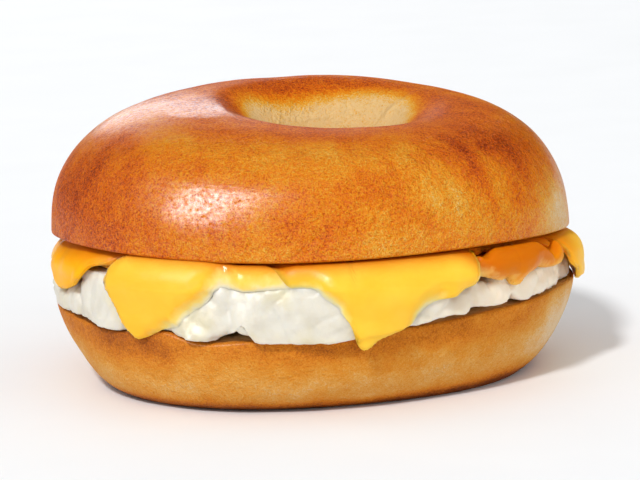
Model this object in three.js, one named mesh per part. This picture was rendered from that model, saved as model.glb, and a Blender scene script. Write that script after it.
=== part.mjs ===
// A filled bagel: a bagel cut through level, a thick egg white patty on its lower half,
// two square slices of melted cheese laid across each other, and the upper half on top.
// Lengths are in millimetres, +Z is up and the lower half stands on z = 0.
// Angles are in degrees round the upright axis, 0 at the front (-Y), 90 at the right (+X).
import * as THREE from 'three';

// the clear space left between neighbouring pieces
const gap = 0.3;

// moves the pieces so that the middle of the whole lies over the origin
const middleX = -1.0;
const middleY = 0.9;

// the steps round the axis: fine at the front half, coarser at the back half
const frontSteps = 48;
const backSteps = 24;

// Upper half: a dome over a level cut, with the bagel's hole going right through it.
const crown = {
  rim: 54.1,
  rimWaves: [
    { by: 0.8, times: 1, toward: 90 },
    { by: 0.9, times: 2, toward: -49 },
    { by: 0.8, times: 3, toward: 41 },
  ],
  cut: 30.4,
  cutWaves: [
    { by: 2.35, times: 1, toward: -18 },
    { by: 0.4, times: 2, toward: 0 },
    { by: 0.8, times: 3, toward: 50 },
  ],
  crest: 56.3,
  crestWaves: [{ by: 2.25, times: 1, toward: -137 }],
  fullness: 2.33,
  fullnessWaves: [{ by: 0.3, times: 1, toward: -21 }],
  hole: { x: 4.1, y: 0.2 },
  crestRadius: 26.2,
  neckRadius: 9,
  neckHeight: 36,
  domeSteps: 9,
  holeSteps: 5,
};

// Lower half: a level cut, a rounded side and a flat ring that it stands on.
const heel = {
  rim: 53.7,
  rimWaves: [
    { by: 1.85, times: 1, toward: -153 },
    { by: 1.4, times: 2, toward: 61 },
    { by: 1.4, times: 3, toward: -26 },
  ],
  cut: 17.2,
  cutWaves: [
    { by: 1.15, times: 1, toward: 90 },
    { by: 0.55, times: 2, toward: 73 },
  ],
  fullness: 1.53,
  fullnessWaves: [
    { by: 0.2, times: 1, toward: 42 },
    { by: 0.4, times: 2, toward: -40 },
  ],
  base: { x: -1, y: 1.6 },
  baseRadius: 42.1,
  baseWaves: [
    { by: 1, times: 2, toward: 54 },
    { by: 2, times: 3, toward: -45 },
  ],
  baseInner: 18,
  hole: { x: 3, y: 0 },
  neckRadius: 8.5,
  neckHeight: 11,
  sideSteps: 7,
  holeSteps: 3,
};

// Cheese slices: each lies level out to its shoulder, bends over it and hangs down the side.
// The reach is measured along the slice from the middle; the corners reach furthest.
const cheese = {
  thickness: 1.7,
  bend: 2.4,
  bendWaves: [{ by: 0.9, times: 2, toward: 90 }],
  swollen: 1,
  rings: [16, 32, 44, 48, 50.5, 52, 53.5, 55, 57, 61],
  edge: 1.1,
  closest: 0.4,
};
// each pair is an angle and the slice's reach there
const underReach = [
  [-132, 61],
  [-100, 48],
  [-86, 47],
  [-62, 50],
  [-55, 52],
  [-48.5, 57],
  [-42, 67.3],
  [-34, 64.5],
  [-29, 62],
  [-20, 55.3],
  [0, 55.3],
  [38, 55.8],
  [45, 58],
  [50, 60],
  [56, 57],
  [65, 53],
  [72, 50],
  [112, 49],
  [139, 61],
  [180, 48],
];
const overReach = [
  [-169, 57],
  [-128, 48],
  [-103, 54],
  [-80, 62.3],
  [-67, 61],
  [-55, 55],
  [-48, 54],
  [-38, 50.5],
  [-16, 50.5],
  [-7, 54.5],
  [0, 56],
  [6, 60],
  [11, 69],
  [19, 65],
  [27, 60.3],
  [33.5, 58],
  [41, 51],
  [57, 50.5],
  [71, 59.5],
  [80, 62],
  [92, 63.5],
  [102, 62],
  [133, 50.5],
  [150, 48.5],
];
// how far the over slice stands off, beyond what lies under it
const overStand = [
  [-60, 0],
  [26, 0],
  [35, 1.6],
  [42, 0.4],
  [62, 0.4],
  [80, 0],
  [110, 0],
  [124, 0.7],
  [138, 0],
];
// how far its right corner flares out near its lower end
const overFlare = [
  [64, 0],
  [80, 1.5],
  [118, 1.5],
  [132, 0],
];

// Egg white patty: fills the space from cut to cut and swells out between the two halves.
// Its lower edge is given by its height over the lower half's cut and its reach over the rim.
const egg = {
  side: 53,
  sideWaves: [
    { by: 0.3, times: 1, toward: 90 },
    { by: 0.3, times: 2, toward: 90 },
  ],
  slump: 1.3,
  belly: 0.5,
};
const eggLift = [
  [-90, 1.6],
  [-64, 2.1],
  [-54, 0.3],
  [-47, 0.7],
  [-37, 1.6],
  [-26, -0.1],
  [-20, 0.9],
  [-15, 3.2],
  [-11, -0.6],
  [0, -1],
  [10, -0.6],
  [23, 0.7],
  [34, 1.3],
  [44, 2.2],
  [50, 3.2],
  [55, 1.1],
  [76, 1.4],
  [100, 0.4],
  [120, 1.2],
  [140, 0.3],
  [162, 1.2],
  [184, 0.3],
  [206, 1.2],
  [228, 0.3],
  [250, 1.2],
];
const eggOut = [
  [-90, 0.6],
  [-64, -0.8],
  [-54, 1],
  [-37, 0.2],
  [-26, 1.3],
  [-15, -2],
  [-10, 1.2],
  [0, 1.6],
  [10, 1.3],
  [23, 0.4],
  [34, -0.2],
  [44, -1.5],
  [50, -3],
  [56, -0.8],
  [76, -1.6],
  [100, -1],
  [184, -0.6],
  [250, -0.6],
];

const rad = (angle) => (angle * Math.PI) / 180;

const angles = [];
for (let i = 0; i < frontSteps; i++) angles.push(-90 + (180 * i) / frontSteps);
for (let i = 0; i < backSteps; i++) angles.push(90 + (180 * i) / backSteps);

// a dimension that swells by so much towards some directions, so many times in a turn
const swell = (angle, waves, share = 1) =>
  waves.reduce(
    (sum, wave) =>
      sum + wave.by * share ** wave.times * Math.cos(wave.times * rad(angle - wave.toward)),
    0,
  );

// goes smoothly from 0 to 1 while x goes from low to high
const ease = (low, high, x) => {
  const t = Math.min(1, Math.max(0, (x - low) / (high - low)));
  return t * t * (3 - 2 * t);
};

// a height or a length given at a few angles, followed smoothly from one to the next
const follow = (stations, angle) => {
  const turn = ((((angle - stations[0][0]) % 360) + 360) % 360) + stations[0][0];
  for (let i = 0; i < stations.length; i++) {
    const from = stations[i];
    const to = i + 1 < stations.length ? stations[i + 1] : [stations[0][0] + 360, stations[0][1]];
    if (turn <= to[0]) return from[1] + (to[1] - from[1]) * ease(from[0], to[0], turn);
  }
  return stations[0][1];
};

const at = (radius, angle, z) => [
  radius * Math.sin(rad(angle)) + middleX,
  -radius * Math.cos(rad(angle)) + middleY,
  z,
];

// a point on the way from one ring to another, both given by centre and radius
const between = (outer, inner, share, angle, z) => {
  const point = (ring) => [
    ring.x + ring.r * Math.sin(rad(angle)),
    ring.y - ring.r * Math.cos(rad(angle)),
  ];
  const a = point(outer);
  const b = point(inner);
  return [
    a[0] + (b[0] - a[0]) * share + middleX,
    a[1] + (b[1] - a[1]) * share + middleY,
    z,
  ];
};

// closes rings of points into one body; a ring of one point is a pole
const body = (name, rings, looped, colour, roughness) => {
  const points = [];
  const starts = [];
  for (const ring of rings) {
    starts.push(points.length);
    points.push(...ring);
  }
  const faces = [];
  const bands = looped ? rings.length : rings.length - 1;
  for (let k = 0; k < bands; k++) {
    const next = (k + 1) % rings.length;
    const sides = Math.max(rings[k].length, rings[next].length);
    for (let i = 0; i < sides; i++) {
      const j = (i + 1) % sides;
      const pick = (row, n) => starts[row] + (rings[row].length === 1 ? 0 : n);
      const a = pick(k, i);
      const b = pick(k, j);
      const c = pick(next, j);
      const d = pick(next, i);
      if (a !== b) faces.push([a, b, c]);
      if (c !== d) faces.push([a, c, d]);
    }
  }
  let volume = 0;
  for (const [a, b, c] of faces) {
    const [p, q, r] = [a, b, c].map((n) => new THREE.Vector3(...points[n]));
    volume += p.dot(q.cross(r));
  }
  const outward = volume > 0 ? faces : faces.map(([a, b, c]) => [a, c, b]);
  const geometry = new THREE.BufferGeometry();
  geometry.setAttribute('position', new THREE.Float32BufferAttribute(points.flat(), 3));
  geometry.setIndex(outward.flat());
  geometry.computeVertexNormals();
  const mesh = new THREE.Mesh(
    geometry,
    new THREE.MeshStandardMaterial({ color: colour, roughness }),
  );
  mesh.name = name;
  return mesh;
};

// the upper half: its dome, then the hole's wall, then the cut back out to the rim
const crownRim = (angle) => crown.rim + swell(angle, crown.rimWaves);
const crownCut = (radius, angle) =>
  crown.cut + swell(angle, crown.cutWaves, Math.min(1.02, radius / crownRim(angle)));

const crownRings = [];
for (let i = 0; i <= crown.domeSteps; i++) {
  const t = rad((90 * i) / crown.domeSteps);
  crownRings.push(
    angles.map((angle) => {
      const power = 2 / (crown.fullness + swell(angle, crown.fullnessWaves));
      const foot = crownCut(crownRim(angle), angle);
      const crest = crown.crest + swell(angle, crown.crestWaves);
      return between(
        { x: 0, y: 0, r: crownRim(angle) },
        { ...crown.hole, r: crown.crestRadius },
        1 - Math.abs(Math.cos(t)) ** power,
        angle,
        foot + (crest - foot) * Math.sin(t) ** power,
      );
    }),
  );
}
for (let i = 1; i <= crown.holeSteps; i++) {
  const t = rad((90 * i) / crown.holeSteps);
  crownRings.push(
    angles.map((angle) => {
      const crest = crown.crest + swell(angle, crown.crestWaves);
      return between(
        { ...crown.hole, r: crown.crestRadius },
        { ...crown.hole, r: crown.neckRadius },
        Math.sin(t),
        angle,
        crown.neckHeight + (crest - crown.neckHeight) * Math.cos(t),
      );
    }),
  );
}
for (const share of [1, 0.66, 0.3]) {
  crownRings.push(
    angles.map((angle) => {
      const point = between(
        { x: 0, y: 0, r: crownRim(angle) },
        { ...crown.hole, r: crown.neckRadius },
        share,
        angle,
        0,
      );
      const x = point[0] - middleX;
      const y = point[1] - middleY;
      point[2] = crownCut(Math.hypot(x, y), (Math.atan2(x, -y) * 180) / Math.PI);
      return point;
    }),
  );
}

// the lower half: its side down to the base, then the hole's wall, then the cut
const heelRim = (angle) => heel.rim + swell(angle, heel.rimWaves);
const heelCut = (radius, angle) =>
  heel.cut + swell(angle, heel.cutWaves, Math.min(1.02, radius / heelRim(angle)));

const heelRings = [];
for (let i = 0; i <= heel.sideSteps; i++) {
  const t = rad((90 * i) / heel.sideSteps);
  heelRings.push(
    angles.map((angle) => {
      const power = 2 / (heel.fullness + swell(angle, heel.fullnessWaves));
      return between(
        { x: 0, y: 0, r: heelRim(angle) },
        { ...heel.base, r: heel.baseRadius + swell(angle, heel.baseWaves) },
        1 - Math.abs(Math.cos(t)) ** power,
        angle,
        heelCut(heelRim(angle), angle) * (1 - Math.sin(t) ** power),
      );
    }),
  );
}
for (let i = 0; i <= heel.holeSteps; i++) {
  const t = rad((90 * i) / heel.holeSteps);
  heelRings.push(
    angles.map((angle) =>
      between(
        { ...heel.hole, r: heel.baseInner },
        { ...heel.hole, r: heel.neckRadius },
        Math.sin(t),
        angle,
        heel.neckHeight * (1 - Math.cos(t)),
      ),
    ),
  );
}
for (const share of [1, 0.5]) {
  heelRings.push(
    angles.map((angle) => {
      const point = between(
        { x: 0, y: 0, r: heelRim(angle) },
        { ...heel.hole, r: heel.neckRadius },
        share,
        angle,
        0,
      );
      const x = point[0] - middleX;
      const y = point[1] - middleY;
      point[2] = heelCut(Math.hypot(x, y), (Math.atan2(x, -y) * 180) / Math.PI);
      return point;
    }),
  );
}

// the patty's sides and top, which the slices follow
const eggSide = (angle) => egg.side + swell(angle, egg.sideWaves);
const cheeseBend = (angle) => cheese.bend + swell(angle, cheese.bendWaves);
const eggBend = (angle) => cheeseBend(angle) + egg.slump;
const eggTop = (radius, angle) =>
  crownCut(radius, angle) - 3 * gap - 2 * cheese.thickness;

// a point so far out from the patty's surface, at a length along it from the middle
const draped = (reach, lift, angle) => {
  const side = eggSide(angle);
  const radius = cheeseBend(angle);
  const shoulder = side - radius;
  const level = eggTop(Math.min(reach, shoulder), angle);
  if (reach <= shoulder) return at(reach, angle, level + lift);
  const bend = Math.min(Math.PI / 2, (reach - shoulder) / (radius + cheese.thickness));
  const down = Math.max(0, reach - shoulder - ((radius + cheese.thickness) * Math.PI) / 2);
  return at(
    shoulder + (radius + lift) * Math.sin(bend),
    angle,
    level - radius + (radius + lift) * Math.cos(bend) - down,
  );
};

const slice = (name, reachOf, liftOf, thicknessOf, colour) => {
  const edgeOf = (angle) => follow(reachOf, angle);
  const lengths = (angle) => {
    const end = edgeOf(angle);
    const inner = cheese.rings.map((ring, k) =>
      Math.min(ring, end - cheese.edge - cheese.closest * (cheese.rings.length - k)),
    );
    return [...inner, end - cheese.edge, end];
  };
  const count = cheese.rings.length + 2;
  const side = (share) => {
    const rings = [];
    for (let k = 0; k < count; k++) {
      rings.push(
        angles.map((angle) => {
          const reach = lengths(angle)[k];
          const part = k === count - 1 ? 0.5 : share;
          return draped(reach, liftOf(reach, angle) + part * thicknessOf(reach, angle), angle);
        }),
      );
    }
    return rings;
  };
  const top = side(1);
  const bottom = side(0).slice(0, -1).reverse();
  const poles = [0, 1].map((share) => [
    at(0, 0, eggTop(0, 0) + liftOf(0, 0) + share * thicknessOf(0, 0)),
  ]);
  return body(name, [poles[1], ...top, ...bottom, poles[0]], false, colour, 0.35);
};

const underEdge = (angle) => follow(underReach, angle);
const overEdge = (angle) => follow(overReach, angle);
const underThickness = (reach, angle) =>
  cheese.thickness +
  cheese.swollen *
    ease(overEdge(angle) + 3.3, overEdge(angle) + 5.5, reach) *
    (1 - ease(54, 60, reach));
const overLift = (reach, angle) =>
  gap +
  follow(overStand, angle) * ease(53.2, 57, reach) +
  follow(overFlare, angle) * ease(56, 63, reach) +
  (cheese.thickness + gap) * (1 - ease(underEdge(angle) + 2, underEdge(angle) + 5.5, reach));

// the patty: its underside, its outer edge, its side, its shoulder and its top
const eggRings = [[at(0, 0, heelCut(0, 0) + gap)]];
for (const radius of [16, 32, 44]) {
  eggRings.push(angles.map((angle) => at(radius, angle, heelCut(radius, angle) + gap)));
}
eggRings.push(
  angles.map((angle) => {
    const rim = heelRim(angle);
    const edge = rim + follow(eggOut, angle);
    return at(
      Math.min(rim + 0.4, edge - 0.5),
      angle,
      heelCut(rim, angle) + gap + 0.6 * Math.max(0, follow(eggLift, angle)),
    );
  }),
);
eggRings.push(
  angles.map((angle) =>
    at(
      heelRim(angle) + follow(eggOut, angle),
      angle,
      heelCut(heelRim(angle), angle) + gap + follow(eggLift, angle),
    ),
  ),
);
for (const share of [0.15, 0.45, 0.75]) {
  eggRings.push(
    angles.map((angle) => {
      const low = heelRim(angle) + follow(eggOut, angle);
      const high = eggSide(angle) - 0.1;
      const foot = heelCut(heelRim(angle), angle) + gap + follow(eggLift, angle);
      const top = eggTop(high - eggBend(angle), angle) - eggBend(angle);
      const out = low + (high - low) * ease(0, 0.6, share) + egg.belly * share * (0.75 - share);
      return at(Math.min(out, high), angle, foot + (top - foot) * share);
    }),
  );
}
for (const turn of [0, 30, 60, 90]) {
  eggRings.push(
    angles.map((angle) => {
      const shoulder = eggSide(angle) - eggBend(angle) - 0.1;
      return at(
        shoulder + eggBend(angle) * Math.cos(rad(turn)),
        angle,
        eggTop(shoulder, angle) - eggBend(angle) * (1 - Math.sin(rad(turn))),
      );
    }),
  );
}
for (const radius of [44, 32, 16]) {
  eggRings.push(angles.map((angle) => at(radius, angle, eggTop(radius, angle))));
}
eggRings.push([at(0, 0, eggTop(0, 0))]);

const bagel = new THREE.Group();
bagel.name = 'filled_bagel';
bagel.add(body('heel', heelRings, true, 0xd08a45, 0.6));
bagel.add(body('egg_white', eggRings, false, 0xf3efe2, 0.45));
bagel.add(slice('cheese_under', underReach, () => gap, underThickness, 0xf9c93c));
bagel.add(slice('cheese_over', overReach, overLift, () => cheese.thickness, 0xf9c433));
bagel.add(body('crown', crownRings, true, 0xc9782c, 0.5));

export default bagel;
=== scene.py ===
import math

import bpy
import numpy as np
from mathutils import Matrix, Vector, noise
from mathutils.bvhtree import BVHTree


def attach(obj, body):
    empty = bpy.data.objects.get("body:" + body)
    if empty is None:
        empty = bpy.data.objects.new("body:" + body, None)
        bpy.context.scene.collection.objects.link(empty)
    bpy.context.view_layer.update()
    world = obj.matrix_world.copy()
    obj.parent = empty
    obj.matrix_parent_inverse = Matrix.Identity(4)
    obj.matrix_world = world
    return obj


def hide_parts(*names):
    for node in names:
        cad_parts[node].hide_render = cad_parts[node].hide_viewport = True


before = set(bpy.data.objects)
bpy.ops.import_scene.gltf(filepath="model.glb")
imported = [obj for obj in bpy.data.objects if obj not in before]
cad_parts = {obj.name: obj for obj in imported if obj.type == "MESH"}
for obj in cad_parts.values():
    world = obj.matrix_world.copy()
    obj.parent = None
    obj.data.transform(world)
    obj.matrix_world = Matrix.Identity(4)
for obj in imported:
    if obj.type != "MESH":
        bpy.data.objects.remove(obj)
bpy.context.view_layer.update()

# Lower half: the bottom of a boiled and baked wheat bagel, cut through level.
# Its thin crust is tan to brown, with a paler band round the middle; the cut shows cream crumb.
# It stands on its flat base and carries everything else. Sizes here and below are in millimetres.
millimetre = 0.001
middle = np.array([-1.0, 0.9])


def swell(angle, waves, share=1.0):
    """How far a size swells at an angle. A wave is its height, its times in a turn and where it peaks."""
    total = np.zeros_like(angle, dtype=float)
    for by, times, toward in waves:
        total = total + by * share**times * np.cos(times * np.radians(angle - toward))
    return total


def ring(angle, radius, centre=(0.0, 0.0)):
    """Points of a level ring; 0 degrees is the front, 90 degrees the right."""
    turn = np.radians(angle)
    return np.stack([centre[0] + radius * np.sin(turn), centre[1] - radius * np.cos(turn)], axis=-1)


def ease(low, high, x):
    """Goes smoothly from 0 to 1 while x goes from low to high."""
    t = np.clip((x - low) / (high - low), 0, 1)
    return t * t * (3 - 2 * t)


def bump_at(angle, height, place, width, tall):
    """1 at a place given by angle and height, falling smoothly to 0 round it."""
    turn = (angle - place[0] + 180) % 360 - 180
    return np.exp(-((turn / width) ** 2) - ((height - place[1]) / tall) ** 2)


def noise_at(points, size, seed):
    """Smooth noise from -1 to 1 whose lumps are about so many millimetres across."""
    start = Vector((seed, 2.3 * seed, 3.1 * seed))
    return np.array([noise.noise(Vector(point) / size + start) for point in points])


def patches(angle, height, spots):
    """The sum of soft spots, each given by its strength, angle, height, width and tallness."""
    return sum(by * bump_at(angle, height, (place, up), wide, tall) for by, place, up, wide, tall in spots)


def spun_loop(name, radius, height, points, steps):
    """Spins a closed outline once round the upright axis; "along" keeps each point's number."""
    bpy.ops.object.select_all(action="DESELECT")
    bpy.ops.mesh.primitive_circle_add(
        vertices=points,
        radius=0.3 * radius * millimetre,
        location=(radius * millimetre, 0, height * millimetre),
        rotation=(math.pi / 2, 0, 0),
    )
    piece = bpy.context.object
    piece.name = name
    bpy.ops.object.transform_apply(location=True, rotation=True, scale=True)
    along = piece.data.attributes.new("along", "FLOAT", "POINT")
    along.data.foreach_set("value", np.arange(points, dtype=np.float32))
    bpy.ops.object.mode_set(mode="EDIT")
    bpy.ops.mesh.select_all(action="SELECT")
    bpy.ops.mesh.spin(
        steps=steps, dupli=False, angle=2 * math.pi, use_auto_merge=True, center=(0, 0, 0), axis=(0, 0, 1)
    )
    bpy.ops.mesh.remove_doubles(threshold=1e-6)
    bpy.ops.object.mode_set(mode="OBJECT")
    return piece


def corners(piece):
    """The mesh's points in millimetres."""
    flat = np.zeros(len(piece.data.vertices) * 3, dtype=np.float32)
    piece.data.vertices.foreach_get("co", flat)
    return flat.reshape(-1, 3).astype(float) / millimetre


def put_corners(piece, points):
    piece.data.vertices.foreach_set("co", (points * millimetre).astype(np.float32).ravel())
    piece.data.update()


def outward(piece):
    """The direction that each point of the mesh faces."""
    flat = np.zeros(len(piece.data.vertices) * 3, dtype=np.float32)
    piece.data.vertex_normals.foreach_get("vector", flat)
    return flat.reshape(-1, 3).astype(float)


def values(piece, name):
    found = np.zeros(len(piece.data.vertices), dtype=np.float32)
    piece.data.attributes[name].data.foreach_get("value", found)
    return found.astype(float)


def put_values(piece, name, found):
    layer = piece.data.attributes.get(name) or piece.data.attributes.new(name, "FLOAT", "POINT")
    layer.data.foreach_set("value", found.astype(np.float32))


def close_up(piece):
    """Turns all faces outwards and shades them smooth."""
    bpy.ops.object.select_all(action="DESELECT")
    bpy.context.view_layer.objects.active = piece
    piece.select_set(True)
    bpy.ops.object.mode_set(mode="EDIT")
    bpy.ops.mesh.select_all(action="SELECT")
    bpy.ops.mesh.normals_make_consistent(inside=False)
    bpy.ops.object.mode_set(mode="OBJECT")
    bpy.ops.object.shade_smooth()


heel_reach = 53.7
heel_rim_waves = [(1.85, 1, -153), (1.4, 2, 61), (1.4, 3, -26)]
heel_edge = 0.7
heel_tall = 17.2
heel_cut_waves = [(1.15, 1, 90), (0.55, 2, 73)]
heel_cut_rises = [(1.6, -36, 1, 6, 0.07), (-0.3, 58, 1, 12, 0.06), (-0.5, -24, 1, 6, 0.05)]
heel_base = (-1.0, 1.6)
heel_base_reach = 42.1
heel_hole = (3.0, 0.0)
heel_mouth = 18.0
heel_neck = 8.5
heel_flare = 11.0


def heel_rim(angle):
    return heel_reach + swell(angle, heel_rim_waves)


def heel_cut(radius, angle):
    share = np.minimum(1.02, radius / heel_rim(angle))
    return heel_tall + swell(angle, heel_cut_waves, share) + patches(angle, share, heel_cut_rises)


def polar(points):
    """Radius and angle of level points round the middle of the bagel."""
    flat = points[:, :2] - middle
    return np.hypot(flat[:, 0], flat[:, 1]), np.degrees(np.arctan2(flat[:, 0], -flat[:, 1]))


def rounding(gap, edge):
    """How far a rounded edge lies in, at a gap from the cut that it turns into."""
    return edge - np.sqrt(np.maximum(0, edge**2 - (edge - np.minimum(gap, edge)) ** 2))


# the outline goes down the side from the rim to the base, in under it, up the hole and out along the cut
side_end = 50
base_end = 56
hole_end = 66
loop_end = 88
heel = spun_loop("lower_half", 34, 9, loop_end, 440)
along = values(heel, "along")
angle = np.degrees(np.arctan2(corners(heel)[:, 0], -corners(heel)[:, 1]))
rim = heel_rim(angle)
rim_cut = heel_cut(rim, angle)
base = ring(angle, heel_base_reach + swell(angle, [(1, 2, 54), (2, 3, -45)]), heel_base)
power = 2 / (1.53 + swell(angle, [(0.2, 1, 42), (0.4, 2, -40)]))
places = np.zeros((len(angle), 3))

side = along < side_end
turn = np.radians(90 * (along / side_end) ** 1.25)
height = rim_cut * (1 - np.sin(turn) ** power)
share = (1 - np.abs(np.cos(turn)) ** power)[:, None]
flat = ring(angle, rim - rounding(rim_cut - height, heel_edge)) * (1 - share) + base * share
places[side] = np.column_stack([flat, height])[side]

below = (along >= side_end) & (along < base_end)
share = ((along - side_end) / (base_end - side_end))[:, None]
flat = base * (1 - share) + ring(angle, heel_mouth, heel_hole) * share
places[below] = np.column_stack([flat, np.zeros(len(flat))])[below]

wall = (along >= base_end) & (along < hole_end)
turn = np.radians(90 * (along - base_end) / (hole_end - base_end))
flat = ring(angle, heel_mouth - (heel_mouth - heel_neck) * np.sin(turn), heel_hole)
places[wall] = np.column_stack([flat, heel_flare * (1 - np.cos(turn))])[wall]

cut = along >= hole_end
share = ((along - hole_end) / (loop_end - hole_end))[:, None]
flat = ring(angle, heel_neck, heel_hole) * (1 - share) + ring(angle, rim - heel_edge) * share
radius, bearing = polar(np.column_stack([flat + middle, rim]))
places[cut] = np.column_stack([flat, heel_cut(radius, bearing)])[cut]
places[:, :2] += middle
put_corners(heel, places)
close_up(heel)

# the crust swells a little, and the crumb of the cut is rough
swelling = 0.32 * noise_at(places, 17, 3) + 0.14 * noise_at(places, 7, 5)
crumbly = 0.16 * noise_at(places, 1.6, 8) + 0.1 * noise_at(places, 0.8, 9)
push = np.where(cut, crumbly - 0.05, swelling * ease(0, 3, places[:, 2]))
put_corners(heel, places + outward(heel) * push[:, None])

# paler round the middle and at the right, darker at the base and below the rim; the cut's rim is toasted
radius, bearing = polar(places)
low = places[:, 2]
heel_patches = [(-0.3, 84, 11, 24, 7), (0.16, -46, 12, 16, 6), (0.14, 58, 2, 16, 3), (-0.34, 76, 15, 14, 6)]
bake = 0.5 - 0.18 * np.exp(-(((low - 6) / 4) ** 2)) + 0.17 * ease(10, 15, low)
bake += 0.5 * (1 - ease(0.4, 3.2, low)) + 0.12 * noise_at(places, 11, 11) + 0.07 * noise_at(places, 4, 12)
bake += patches(bearing, low, heel_patches)
put_values(heel, "bake", np.clip(bake, 0, 1))
inside = rim - heel_edge - radius
toasted = np.maximum(1 - ease(0.1, 0.8, inside), 0.4 * (1 - ease(2, 7, inside)))
put_values(heel, "crust", np.where(cut, toasted, 1.0))
put_values(heel, "gloss", np.where(cut, 0.0, 0.1))


def set_inputs(node, settings):
    for name, value in settings.items():
        node.inputs[name].default_value = value


def new_sockets(group, ins, outs):
    for label, kind, start in ins:
        socket = group.interface.new_socket(label, in_out="INPUT", socket_type=kind)
        socket.default_value = start
    for label, kind in outs:
        group.interface.new_socket(label, in_out="OUTPUT", socket_type=kind)


def add_node(tree, kind, **settings):
    node = tree.nodes.new(kind)
    for name, value in settings.items():
        setattr(node, name, value)
    return node


def noise_node(tree, spot, scale, detail, rough=0.5):
    node = add_node(tree, "ShaderNodeTexNoise")
    set_inputs(node, {"Scale": scale, "Detail": detail, "Roughness": rough})
    tree.links.new(spot, node.inputs["Vector"])
    return node.outputs["Fac"]


def ramp_node(tree, value, stops):
    node = add_node(tree, "ShaderNodeValToRGB")
    band = node.color_ramp
    while len(band.elements) < len(stops):
        band.elements.new(0.5)
    for element, (place, colour) in zip(band.elements, stops):
        element.position = place
        element.color = (*colour, 1)
    tree.links.new(value, node.inputs["Fac"])
    return node.outputs["Color"]


def feed(tree, socket, value):
    """Sets a socket to a number or a colour, or links it to another node's output."""
    if isinstance(value, (int, float)):
        socket.default_value = value
    elif isinstance(value, tuple):
        socket.default_value = (*value, 1)
    else:
        tree.links.new(value, socket)


def reckon(tree, how, *given):
    node = add_node(tree, "ShaderNodeMath", operation=how)
    for socket, value in zip(node.inputs, given):
        feed(tree, socket, value)
    return node.outputs[0]


def blend_colours(tree, share, first, second):
    node = add_node(tree, "ShaderNodeMix", data_type="RGBA")
    for place, value in ((0, share), (6, first), (7, second)):
        feed(tree, node.inputs[place], value)
    return node.outputs[2]


def painted(tree, name):
    """Reads the values that the mesh keeps under this name."""
    return add_node(tree, "ShaderNodeAttribute", attribute_name=name).outputs["Fac"]


def new_look(name):
    """A new material, its nodes, its shader and the place on the piece that is being shaded."""
    made = bpy.data.materials.new(name)
    made.use_nodes = True
    tree = made.node_tree
    return made, tree, tree.nodes["Principled BSDF"], add_node(tree, "ShaderNodeTexCoord").outputs["Object"]


def emboss(tree, shader, height, strength, distance):
    """A fine relief, no deeper than the distance in metres."""
    bump = add_node(tree, "ShaderNodeBump")
    set_inputs(bump, {"Strength": strength, "Distance": distance})
    tree.links.new(height, bump.inputs["Height"])
    tree.links.new(bump.outputs["Normal"], shader.inputs["Normal"])


# how a baked crust varies: its browning, its glints and its pebbled skin, shared by both halves
full_gloss = 0.42
crust_look = bpy.data.node_groups.new("baked_crust", "ShaderNodeTree")
new_sockets(
    crust_look,
    [
        ("Spot", "NodeSocketVector", (0, 0, 0)),
        ("Bake", "NodeSocketFloat", 0.5),
        ("Speckle", "NodeSocketFloat", 0.5),
    ],
    [
        ("Level", "NodeSocketFloat"),
        ("Roughness", "NodeSocketFloat"),
        ("Height", "NodeSocketFloat"),
        ("Glint", "NodeSocketFloat"),
    ],
)
tree = crust_look
get = add_node(tree, "NodeGroupInput")
give = add_node(tree, "NodeGroupOutput")
spot = get.outputs["Spot"]
pebbles = noise_node(tree, spot, 3300, 2, 0.6)
grains = noise_node(tree, spot, 1500, 2, 0.5)
mottle = noise_node(tree, spot, 300, 4, 0.6)
broad = noise_node(tree, spot, 75, 2)
level = reckon(tree, "MULTIPLY_ADD", mottle, 0.26, -0.26)
level = reckon(tree, "MULTIPLY_ADD", broad, 0.24, level)
fine = reckon(tree, "MULTIPLY_ADD", grains, -0.5, reckon(tree, "SUBTRACT", 0.75, pebbles))
level = reckon(tree, "MULTIPLY_ADD", fine, get.outputs["Speckle"], level)
level = reckon(tree, "ADD", level, get.outputs["Bake"])
tree.links.new(level, give.inputs["Level"])
tree.links.new(reckon(tree, "MULTIPLY_ADD", mottle, 0.2, 0.3), give.inputs["Roughness"])
relief = reckon(tree, "MULTIPLY_ADD", grains, 1.2, pebbles)
wrinkles = noise_node(tree, spot, 420, 2, 0.5)
tree.links.new(reckon(tree, "MULTIPLY_ADD", wrinkles, 2.2, relief), give.inputs["Height"])
glints = noise_node(tree, spot, 1150, 2, 0.6)
tree.links.new(reckon(tree, "MULTIPLY_ADD", glints, 4.4, -1.15), give.inputs["Glint"])

# the cream crumb that the level cut lays open, with its small pores
crumb_look = bpy.data.node_groups.new("wheat_crumb", "ShaderNodeTree")
new_sockets(
    crumb_look,
    [("Spot", "NodeSocketVector", (0, 0, 0))],
    [("Color", "NodeSocketColor"), ("Height", "NodeSocketFloat")],
)
tree = crumb_look
get = add_node(tree, "NodeGroupInput")
give = add_node(tree, "NodeGroupOutput")
pores = noise_node(tree, get.outputs["Spot"], 900, 4, 0.6)
toast = noise_node(tree, get.outputs["Spot"], 200, 2)
creams = [(0.3, (0.66, 0.38, 0.13)), (0.48, (0.86, 0.6, 0.3)), (0.7, (0.9, 0.7, 0.42))]
tone = ramp_node(tree, pores, creams)
tone = blend_colours(tree, reckon(tree, "MULTIPLY", toast, 0.5), tone, (0.7, 0.4, 0.14))
tree.links.new(tone, give.inputs["Color"])
tree.links.new(pores, give.inputs["Height"])


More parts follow.
